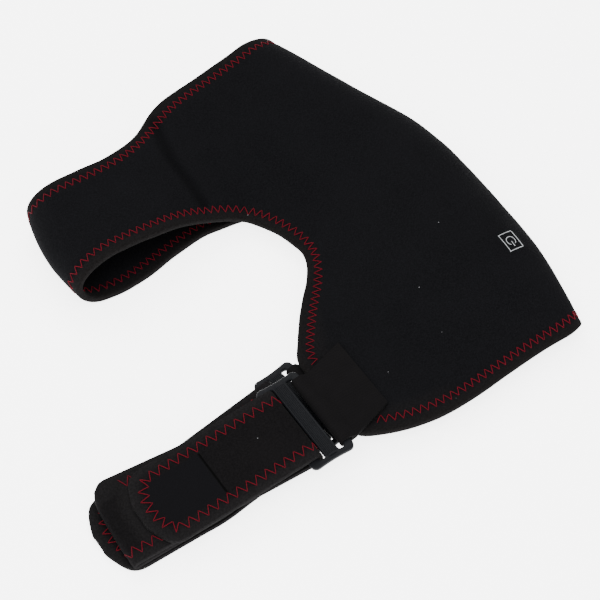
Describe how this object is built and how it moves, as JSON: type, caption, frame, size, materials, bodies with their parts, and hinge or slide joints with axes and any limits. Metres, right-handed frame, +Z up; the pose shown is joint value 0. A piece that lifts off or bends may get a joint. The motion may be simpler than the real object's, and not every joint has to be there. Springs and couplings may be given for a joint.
{
  "type": "heated hip or shoulder brace",
  "caption": "Folded heated joint wrap: stitched neoprene shell with a limb ring at one end, a strap doubled through slide buckles and a soft power button under the cloth.",
  "frame": {"origin": "on the table, below the middle of the whole object as it lies", "axes": "+X from the strap's free end towards the rounded fold, +Y from the hem towards the stitched top edge, +Z up"},
  "size_m": [0.3326, 0.2872, 0.0388],
  "materials": {
    "neoprene": "matte, soft knit face over foam rubber",
    "strap_cloth": "matte, brushed loop face",
    "webbing": "matte, tight flat weave",
    "buckle_plastic": "satin moulded plastic",
    "button_cloth": "matte, with a pale printed icon",
    "red_thread": "matte twisted thread"
  },
  "bodies": {
    "root": {"body": "neoprene", "front_webbing_tab": "webbing", "back_webbing_tab": "webbing", "front_buckle": "buckle_plastic", "back_buckle": "buckle_plastic", "strap": "strap_cloth", "power_button": "button_cloth"}
  },
  "joints": []
}
